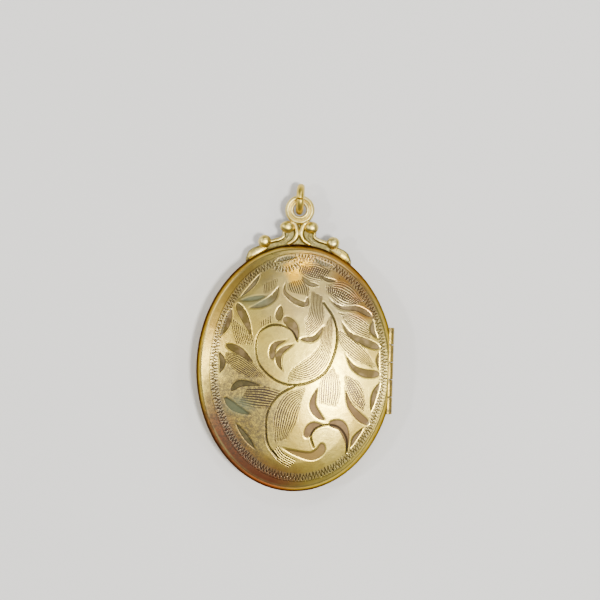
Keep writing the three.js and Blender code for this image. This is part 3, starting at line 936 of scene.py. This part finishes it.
def leaf_floors(graph, leaf, mottle):
    """Colours of the matte floors of the leaf cuts, with painted shade at the foot of their walls."""
    sheen = graph.ramp(graph.noise(0.8, 2.0), 0.42, 0.62)
    coppery = graph.spot((4.5, -8.5), 6.5, 2.0, wobble=2.0)
    ochre = graph.spot((1.6, -11.0), 2.0, 1.2, (1.7, 0.8), 1.0)
    colour = graph.mix(graph.ramp(mottle, 0.4, 0.6), LEAF_BROWN, LEAF_OLIVE)
    colour = graph.tint(colour, LEAF_LIGHT, sheen, 0.75)
    colour = graph.tint(colour, LEAF_COPPER, coppery, 0.65)
    colour = graph.tint(colour, LEAF_OCHRE, ochre, 0.8)
    colour = graph.tint(colour, VERDIGRIS, graph.attribute("green"), 0.6)
    # Painted shade: a dark ring on each leaf floor at the foot of its wall.
    return graph.tint(colour, DARK, graph.band(leaf, 0.04, 0.1, 0.14, 0.26), 0.6)


def ruled_lines(graph, fine):
    """1 in each cut line of the hatched patches, whose edges are a little ragged."""
    ruled = 0.0
    for field in ("hatch", "cross"):
        ragged = graph.add(graph.attribute(field + "_in"), graph.times(graph.less(fine, 0.5), 0.5))
        lines = graph.lines(graph.attribute(field + "_at"), 0.56, 0.25)
        ruled = graph.larger(ruled, graph.times(lines, graph.ramp(ragged, 0.0, 0.25)))
    return ruled


def wriggle_cut(graph, leaf, across):
    """The border's zigzag, which swings between the band's two edges, and a painted highlight beside it, as
    if its burr caught the light.
    """
    uneven = graph.times(graph.less(graph.noise(1.6, 2.0), 0.5), 1.2)
    turn = graph.math("FRACT", graph.add(graph.attribute("tooth"), uneven))
    swing = graph.apart(graph.times(turn, 2.0), 1.0)
    gap = graph.apart(across, graph.add(0.15, graph.times(swing, 0.7)))
    in_band = graph.band(across, 0.0, 0.1, 0.9, 1.0)
    cut = graph.times(graph.fade(gap, 0.1, 0.28), in_band, graph.fade(leaf, -0.12, -0.02))
    # Painted highlight: a bright band beside the zigzag, as if a burr caught the light.
    burr = graph.times(graph.band(gap, 0.2, 0.34, 0.34, 0.5), in_band)
    return cut, burr


def engraved_metal():
    """The front cover: every cut is coloured and shaded from the fields stored on its mesh."""
    graph = Graph("engraved_gold")
    leaf = graph.attribute("leaf")
    across = graph.attribute("across")
    mottle = graph.noise(0.22, 5.0, 0.6)
    fine = graph.noise(2.5, 5.0, 0.65)
    speck = graph.noise(9.0, 3.0, 0.7)

    colour = polished_ground(graph, mottle, fine, speck)
    colour = worn_rim(graph, colour)
    dull = graph.spot((-6.5, -6.0), 6.0, 2.5, (0.9, 1.2), 4.0)
    grain = graph.add(graph.times(fine, 0.6), graph.times(speck, 0.7))
    colour = graph.tint(colour, TARNISH, dull, graph.ramp(grain, 0.42, 0.74), 0.9)
    colour = side_shade_and_crease_highlight(graph, colour, mottle)

    floor = graph.ramp(leaf, 0.05, 0.12)
    stem = graph.fade(graph.attribute("stem"), STEM_WIDTH * 0.25, STEM_WIDTH * 0.6)
    ruled = graph.times(ruled_lines(graph, fine), graph.less(1.0, graph.larger(floor, stem)))
    wriggle, burr = wriggle_cut(graph, leaf, across)
    edge_line = graph.fade(graph.math("ABSOLUTE", across), 0.03, 0.1)
    colour = graph.tint(colour, leaf_floors(graph, leaf, mottle), floor, 0.92)
    colour = graph.tint(colour, DARK, stem, 0.85)
    colour = graph.tint(colour, HATCH_DARK, ruled, 0.95)
    colour = graph.tint(colour, HATCH_DARK, wriggle, 0.75)
    # Painted highlight beside the border's zigzag cut.
    colour = graph.tint(colour, PAINTED_GLINT, burr, 0.4)
    colour = graph.tint(colour, DARK, edge_line, 0.5)
    green_low = graph.spot((-7.0, -5.0), 1.3, 0.8, (1.4, 0.8), 1.2)
    green_high = graph.spot((-5.6, 8.5), 1.2, 0.7, (1.6, 0.6), 1.0)
    colour = graph.tint(colour, VERDIGRIS, graph.larger(green_low, green_high), 0.6)

    rough = graph.add(0.24, graph.times(fine, 0.1), graph.times(floor, 0.28), graph.times(dull, 0.14))
    normal = graph.bump(mottle, 0.05)
    normal = graph.bump(fine, 0.006, normal)
    normal = graph.bump(scratches(graph, 4.0, 20), -0.002, normal)
    cuts = graph.add(graph.times(ruled, 0.2), graph.times(wriggle, 1.2), graph.times(stem, 0.3))
    normal = graph.bump(cuts, -0.05, normal)
    return graph.surface(Base_Color=colour, Metallic=1.0, Roughness=rough, Normal=normal,
                         Specular_Tint=EDGE_TINT)


def celluloid():
    """Clear old sheet: faintly yellow, with fine scuffs."""
    graph = Graph("celluloid")
    haze = graph.noise(1.2, 4.0, 0.6)
    scuffs = scratches(graph, 6.0, 40)
    colour = graph.mix(graph.ramp(haze, 0.4, 0.7), CLEAR_SHEET, YELLOWED_SHEET)
    rough = graph.add(0.05, graph.times(haze, 0.06), graph.times(scuffs, 0.05))
    normal = graph.bump(scuffs, -0.0008, graph.bump(haze, 0.01))
    return graph.surface(Base_Color=colour, Transmission_Weight=1.0, IOR=1.49, Roughness=rough,
                         Normal=normal)


def card_paper():
    """Blank backing card, foxed with age."""
    graph = Graph("photo_card")
    fibre = graph.noise(8.0, 5.0, 0.7)
    foxed = graph.ramp(graph.noise(0.5, 4.0, 0.6), 0.58, 0.72)
    colour = graph.mix(graph.ramp(fibre, 0.3, 0.7), CARD, PALE_CARD)
    colour = graph.tint(colour, FOXING, foxed, 0.5)
    return graph.surface(Base_Color=colour, Roughness=0.85, Normal=graph.bump(fibre, 0.02))


def pin_steel():
    """Drawn steel wire with a little rust."""
    graph = Graph("steel_pin")
    drawn = graph.noise(6.0, 3.0, 0.6, (1, 0.1, 1))
    rust = graph.ramp(graph.noise(1.5, 4.0, 0.6), 0.6, 0.75)
    colour = graph.mix(graph.ramp(drawn, 0.3, 0.7), STEEL, BRIGHT_STEEL)
    colour = graph.tint(colour, RUST, rust, 0.5)
    rough = graph.add(0.3, graph.times(drawn, 0.1), graph.times(rust, 0.3))
    normal = graph.bump(drawn, 0.004)
    return graph.surface(Base_Color=colour, Metallic=1.0, Roughness=rough, Normal=normal)


def cast_metal():
    """The crest: pale worn high spots and greenish grime in the low ground."""
    graph = Graph("crest_gold")
    grain = graph.noise(3.5, 5.0, 0.65)
    patch = graph.noise(0.8, 3.0, 0.5)
    uneven = graph.times(graph.less(grain, 0.5), 0.5)
    low = graph.fade(graph.add(graph.axis("Z"), uneven), 2.72, 3.06)
    colour = graph.mix(graph.ramp(patch, 0.35, 0.65), PALE_GOLD, GOLD)
    colour = graph.tint(colour, TARNISH, graph.ramp(grain, 0.5, 0.8), 0.4)
    colour = graph.tint(colour, CREST_GRIME, low, 0.9)
    rough = graph.add(0.28, graph.times(grain, 0.16), graph.times(low, 0.2))
    normal = graph.bump(grain, 0.012, graph.bump(patch, 0.05))
    return graph.surface(Base_Color=colour, Metallic=1.0, Roughness=rough, Normal=normal)


# ------------------------------------------------------------------ pieces

MATERIALS = {
    "engraved_gold": engraved_metal(),
    "plain_gold": worn_metal("plain_gold", grime=0.7),
    "hinge_gold": worn_metal("hinge_gold", WARM_GOLD, TARNISH, 0.34, 0.8, 3.0),
    "inner_gold": worn_metal("inner_gold", roughness=0.34, grime=0.3, scale=2.0),
    "crest_gold": cast_metal(),
    "ring_gold": worn_metal("ring_gold", scale=2.0),
    "steel_pin": pin_steel(),
    "celluloid": celluloid(),
    "photo_card": card_paper(),
}
SLOTS = {row["node"]: row["material_slot"] for row in frame["record"]["subparts"]}
BODY_OF = {
    node: body for body, nodes in frame["record"]["behaviour"]["bodies"].items() for node in nodes
}


def stand_for(piece, node, material=None):
    """Gives a piece the material of the CAD node's slot, unless another is given, puts it in the node's body
    and hides the node, whose place it takes.
    """
    slot = SLOTS[node]
    piece.data.materials.append(material or MATERIALS[slot])
    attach(piece, BODY_OF[node])
    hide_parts(node)


def covers():
    stand_for(cover_piece("engraved_cover", LID_CELLS, 0, True), "front_cover")
    stand_for(cover_piece("domed_back", BACK_CELLS, PANEL_RATIO, False), "back_cover")


# The rims soldered inside the covers, as insets of their walls and heights of their edges.
RIM_OUTER = 0.53
RIM_FOOT = 0.69
RIM_GAP = 0.08
RIM_DEPTH = 0.73
LID_RIM_INNER = 0.84
FLANGE_OUTER = 0.97
FLANGE_INNER = 1.23
FLANGE_TOP = 0.66
FLANGE_BEVEL = 0.06


def lid_rim():
    outline = [
        (RIM_OUTER, RIM_GAP), (LID_RIM_INNER, RIM_GAP),
        (LID_RIM_INNER, RIM_DEPTH), (RIM_FOOT, RIM_DEPTH),
    ]
    points, quads, _ = oval_ring(rounded(outline, 0.07))
    stand_for(mesh_piece("lid_rim", seat_clear(points), quads), "front_inner_rim")


def case_rim():
    """The back's rim carries the closing flange, which stops short of the hinge."""
    outline = [
        (RIM_OUTER, -RIM_GAP), (FLANGE_OUTER, -RIM_GAP), (FLANGE_OUTER, FLANGE_TOP - FLANGE_BEVEL),
        (FLANGE_OUTER + 0.08, FLANGE_TOP), (FLANGE_INNER - 0.06, FLANGE_TOP),
        (FLANGE_INNER, FLANGE_TOP - 0.08), (FLANGE_INNER, -RIM_DEPTH), (RIM_FOOT, -RIM_DEPTH),
    ]
    points, quads, _ = oval_ring(rounded(outline, 0.06))
    beside_hinge = np.abs(points[:, 1]) < HINGE_HALF_LENGTH + 0.6
    beside_hinge &= points[:, 0] > HALF_WIDTH / 2 - 0.3
    points[beside_hinge, 2] = np.minimum(points[beside_hinge, 2], PARTING_Z - 0.06)
    stand_for(mesh_piece("case_rim_with_flange", seat_clear(points), quads), "back_inner_rim")


def photo_frame(name, node, outer, inner, face, back):
    """A pressed frame with a bead along both edges of its visible face."""
    low = face + math.copysign(0.035, back - face)
    outline = [
        (outer, low), (outer + 0.3, low), (outer + 0.4, face), (outer + 0.5, low),
        (inner - 0.25, low), (inner - 0.18, face), (inner - 0.06, face), (inner, low),
        (inner, back), (outer, back),
    ]
    points, quads, _ = oval_ring(rounded(outline, 0.05))
    stand_for(mesh_piece(name, points, quads), node)


def photo_plate(name, node, inset, low, high):
    stand_for(mesh_piece(name, *oval_plate(inset, low, high)), node)


def photo_recesses():
    """Frame, window and blank card of each half, by insets and heights."""
    photo_frame("lid_frame", "front_photo_frame", outer=0.94, inner=2.18, face=0.81, back=1.03)
    photo_frame("case_frame", "back_photo_frame", outer=1.34, inner=2.48, face=-0.37, back=-0.59)
    photo_plate("lid_window", "front_window", inset=1.53, low=1.09, high=1.21)
    photo_plate("lid_card", "front_photo_card", inset=1.63, low=1.27, high=1.37)
    photo_plate("case_window", "back_window", inset=1.37, low=-0.77, high=-0.65)
    photo_plate("case_card", "back_photo_card", inset=1.37, low=-0.93, high=-0.83)


def both_ends(end):
    """A lathe outline from its upper end, which its lower end mirrors."""
    return end + [(radius, -along) for radius, along in end[::-1]]


def knuckles():
    bore = 0.26
    for node in KNUCKLES:
        middle, size = node_span(node)
        half = size[1] / 2
        outline = [(bore, -half), (KNUCKLE_RADIUS, -half), (KNUCKLE_RADIUS, half), (bore, half)]
        centre = np.array([HINGE_X, middle[1], PARTING_Z])
        shape = lathe(rounded(outline, 0.09), centre, "y", ring=True)
        tube_piece = mesh_piece(node.replace("knuckle", "tube"), *shape)
        stand_for(tube_piece, node, MATERIALS["hinge_gold"])


def hinge_pin():
    """A wire through all the knuckles, with its ends burred over."""
    _, size = node_span("hinge_pin")
    radius = size[2] / 2
    half = size[1] / 2
    burr = [(0, half), (radius * 0.7, half - 0.02), (radius, half - 0.1), (radius * 0.94, half - 0.2)]
    shape = lathe(both_ends(burr), np.array([HINGE_X, 0, PARTING_Z]), "y", 24)
    stand_for(mesh_piece("pin_wire", *shape), "hinge_pin")


def catch_pip():
    """The round-ended pip that the lid snaps over."""
    middle, size = node_span("catch_pip")
    radius = size[2] / 2
    half = size[1] / 2 - radius
    turn = np.linspace(0, math.pi / 2, 7)
    cap = [(radius * math.sin(angle), half + radius * math.cos(angle)) for angle in turn]
    stand_for(mesh_piece("snap_pip", *lathe(both_ends(cap), middle, "y", 24)), "catch_pip")


# The crest's plate: how far it reaches to each side, its faces, its gap to the cover, and its top
# edge as distances from the middle and heights up the locket.
CREST_REACH = 6.85
CREST_LOW = 2.25
CREST_HIGH = 2.78
CREST_GAP = 0.03
CREST_TOP = [
    (0, 18.9), (0.75, 18.9), (1.2, 18.3), (1.9, 17.35), (2.1, 17.0), (2.6, 16.6), (3.5, 16.3),
    (4.5, 15.9), (5.3, 15.4), (6.0, 14.9), (6.6, 14.4), (6.9, 14.1),
]

# Its raised bars on the right: places along each, its level, its radii, and how flattened it is.
CREST_BARS = [
    (
        [(1.25, 19.0), (0.55, 18.55), (0.34, 17.9), (0.28, 17.3), (0.62, 16.6), (1.5, 16.0)],
        2.92, [0.2, 0.3, 0.34, 0.3, 0.2], 1.0,
    ),
    (
        [(2.1, 17.8), (2.0, 17.05), (2.6, 16.62), (3.5, 16.35), (4.5, 16.0)],
        2.8, [0.15, 0.24, 0.26, 0.24, 0.3], 1.0,
    ),
    ([(1.35, 17.6), (1.35, 17.0), (1.9, 16.4), (3.0, 15.9)], 2.66, [0.1, 0.2, 0.2, 0.08], 1.0),
    ([(4.2, 15.65), (5.1, 15.1), (5.9, 14.6), (6.55, 14.05)], 2.68, [0.4, 0.6, 0.72, 0.66, 0.35], 0.6),
]
UPWARDS = np.array([0, 0, 1])


def crest_plate():
    """A flat plate from the cover's outline up to the crest's top edge."""
    sections = []
    for x in np.linspace(-CREST_REACH, CREST_REACH, 120):
        bottom = (HALF_LENGTH + CREST_GAP) * math.sqrt(1 - (x / (HALF_WIDTH + CREST_GAP)) ** 2)
        top = max(float(np.interp(abs(x), *zip(*CREST_TOP))), bottom + 0.1)
        corners = [(bottom, CREST_LOW), (top, CREST_LOW), (top, CREST_HIGH), (bottom, CREST_HIGH)]
        sections.append(np.array([[x, y, z] for y, z in corners]))
    return ring_shape(sections, [sections[0].mean(axis=0), sections[-1].mean(axis=0)])


def crest_bar(places, level, radii, flatness):
    samples = 40
    path = np.column_stack([curve_through(places, samples), np.full(samples, level)])
    sizes = np.interp(np.linspace(0, 1, samples), np.linspace(0, 1, len(radii)), radii)
    points, quads, triangles = tube(path, sizes, UPWARDS)
    points[:, 2] = level + (points[:, 2] - level) * flatness
    return points, quads, triangles


def crest_casting():
    """Plate, scrolls and the two leaves that lie along the rim, melted into one casting."""
    shapes = [crest_plate()]
    for row in CREST_BARS:
        bar = crest_bar(*row)
        shapes.extend([bar, mirrored(bar)])
    for side in (-1, 1):
        neck = np.linspace([side * 0.4, 18.7, 2.8], [side * 1.2, 18.9, 2.85], 8)
        shapes.append(tube(neck, np.full(8, 0.36), UPWARDS))
    angles = np.radians(np.linspace(64, 116, 40))
    solder = ring_points(0.22, -0.85, angles)
    shapes.append(tube(solder, np.full(40, 0.24), UPWARDS))
    stand_for(fused("crest_casting", shapes, voxel=0.055, smoothing=4), "crest_plate")


def crest_balls():
    """The four ball ends of the scrolls, none of them quite round."""
    turn = np.linspace(0, math.pi, 25)
    for level, squash in (("upper", (1.12, 0.94, 1)), ("lower", (1, 1, 1))):
        for side, phase in (("left", -1), ("right", 1)):
            node = f"crest_ball_{level}_{side}"
            centre, size = node_span(node)
            radius = size[0] / 2
            outline = [(radius * math.sin(a) ** 0.8, radius * 0.97 * math.cos(a)) for a in turn]
            points, quads, triangles = lathe(outline, centre, "z", 72)
            swell = 0.02 * np.sin(3.1 * points[:, 0] + phase) * np.cos(4.3 * points[:, 1])
            points = centre + (points - centre) * (1 + swell[:, None]) * np.array(squash)
            stand_for(mesh_piece(f"scroll_ball_{level}_{side}", points, quads, triangles), node)


def bail_eye():
    """The round eye, with a groove between its outer roll and its inner step."""
    outline = [
        (0.84, -0.2), (0.95, -0.42), (1.4, -0.53), (1.8, -0.35), (1.93, 0.0), (1.82, 0.34), (1.6, 0.5),
        (1.42, 0.36), (1.31, 0.12), (1.2, 0.3), (1.05, 0.42), (0.9, 0.36), (0.82, 0.1),
    ]
    shape = lathe(rounded(outline, 0.12), node_span("bail_eye")[0], "z", 96, ring=True)
    stand_for(mesh_piece("stepped_eye", *shape), "bail_eye")


def hung_ring():
    """Sawn wire ring: its two ends meet at the top, one a little to the side of the other."""
    middle, size = node_span("jump_ring")
    wire = size[0] / 2
    radius = size[1] / 2 - wire
    top = math.pi / 2
    seam = math.radians(1.2)
    turn = np.linspace(seam, 2 * math.pi - seam, 130) + top
    sideways = 0.05 * np.cos((turn - top) / 2)
    outwards = radius * np.cos(turn)
    lean = math.radians(-3.5)
    path = np.stack([
        sideways * math.cos(lean) - outwards * math.sin(lean),
        sideways * math.sin(lean) + outwards * math.cos(lean),
        radius * np.sin(turn),
    ], axis=1)
    from_seam = np.minimum(turn - turn[0], turn[-1] - turn)
    sizes = wire * (1 - 0.12 * np.exp(-((from_seam / 0.03) ** 2)))
    shape = tube(path + middle, sizes, np.array([1.0, 0, 0]), 28)
    stand_for(mesh_piece("sawn_ring", *shape), "jump_ring")


covers()
lid_rim()
case_rim()
photo_recesses()
knuckles()
hinge_pin()
catch_pip()
crest_casting()
crest_balls()
bail_eye()
hung_ring()


# ------------------------------------------------------------------ stage, light and camera

# Soft round lights, all aimed at the locket: place and size in metres, and power in watts.
LIGHTS = [
    ("softbox", (-0.06, 0.02, 0.6), 0.4, 0.42),
    ("key", (0.125, -0.045, 0.5), 0.07, 3.1),
    ("right", (0.33, -0.06, 0.45), 0.1, 0.42),
    ("top", (0.03, 0.27, 0.47), 0.06, 0.36),
    ("left", (-0.36, -0.01, 0.5), 0.05, 0.9),
    ("far_left", (-0.55, 0.25, 0.3), 0.4, 1.6),
    ("back_right", (0.3, 0.5, 0.42), 0.3, 1.2),
]


def area_light(name, place, size, power):
    light = bpy.data.lights.new(name, "AREA")
    light.shape = "DISK"
    light.size = size
    light.energy = power
    made = bpy.data.objects.new(name, light)
    made.location = place
    made.rotation_euler = (-Vector(place)).to_track_quat("-Z", "Y").to_euler()
    bpy.context.scene.collection.objects.link(made)


def floor():
    graph = Graph("pale_floor")
    colour = graph.mix(graph.noise(0.02, 3), FLOOR, PALE_FLOOR)
    material = graph.surface(Base_Color=colour, Roughness=0.7)
    bpy.ops.mesh.primitive_plane_add(size=2.0)
    plane = bpy.context.object
    plane.name = "floor"
    plane.data.materials.append(material)


def camera():
    """Straight above, with the locket turned a little clockwise in the frame as it lay."""
    frame_width = 77.76
    distance = 260.0
    roll = math.radians(1.8)
    middle = Vector((0.65, 8.8))
    data = bpy.data.cameras.new("camera")
    data.sensor_width = 36.0
    data.lens = data.sensor_width * distance / frame_width
    data.clip_start = 0.01
    made = bpy.data.objects.new("camera", data)
    turned = (
        middle.x * math.cos(roll) - middle.y * math.sin(roll),
        middle.x * math.sin(roll) + middle.y * math.cos(roll),
    )
    made.location = (turned[0] * MM, turned[1] * MM, (distance + PARTING_Z) * MM)
    made.rotation_euler = (0, 0, roll)
    bpy.context.scene.collection.objects.link(made)
    bpy.context.scene.camera = made


def world():
    """A faint cool light from all round."""
    made = bpy.data.worlds.new("studio")
    made.use_nodes = True
    background = made.node_tree.nodes["Background"]
    background.inputs["Color"].default_value = (0.9, 0.95, 1.0, 1)
    background.inputs["Strength"].default_value = 0.22
    bpy.context.scene.world = made


floor()
camera()
world()
for light in LIGHTS:
    area_light(*light)
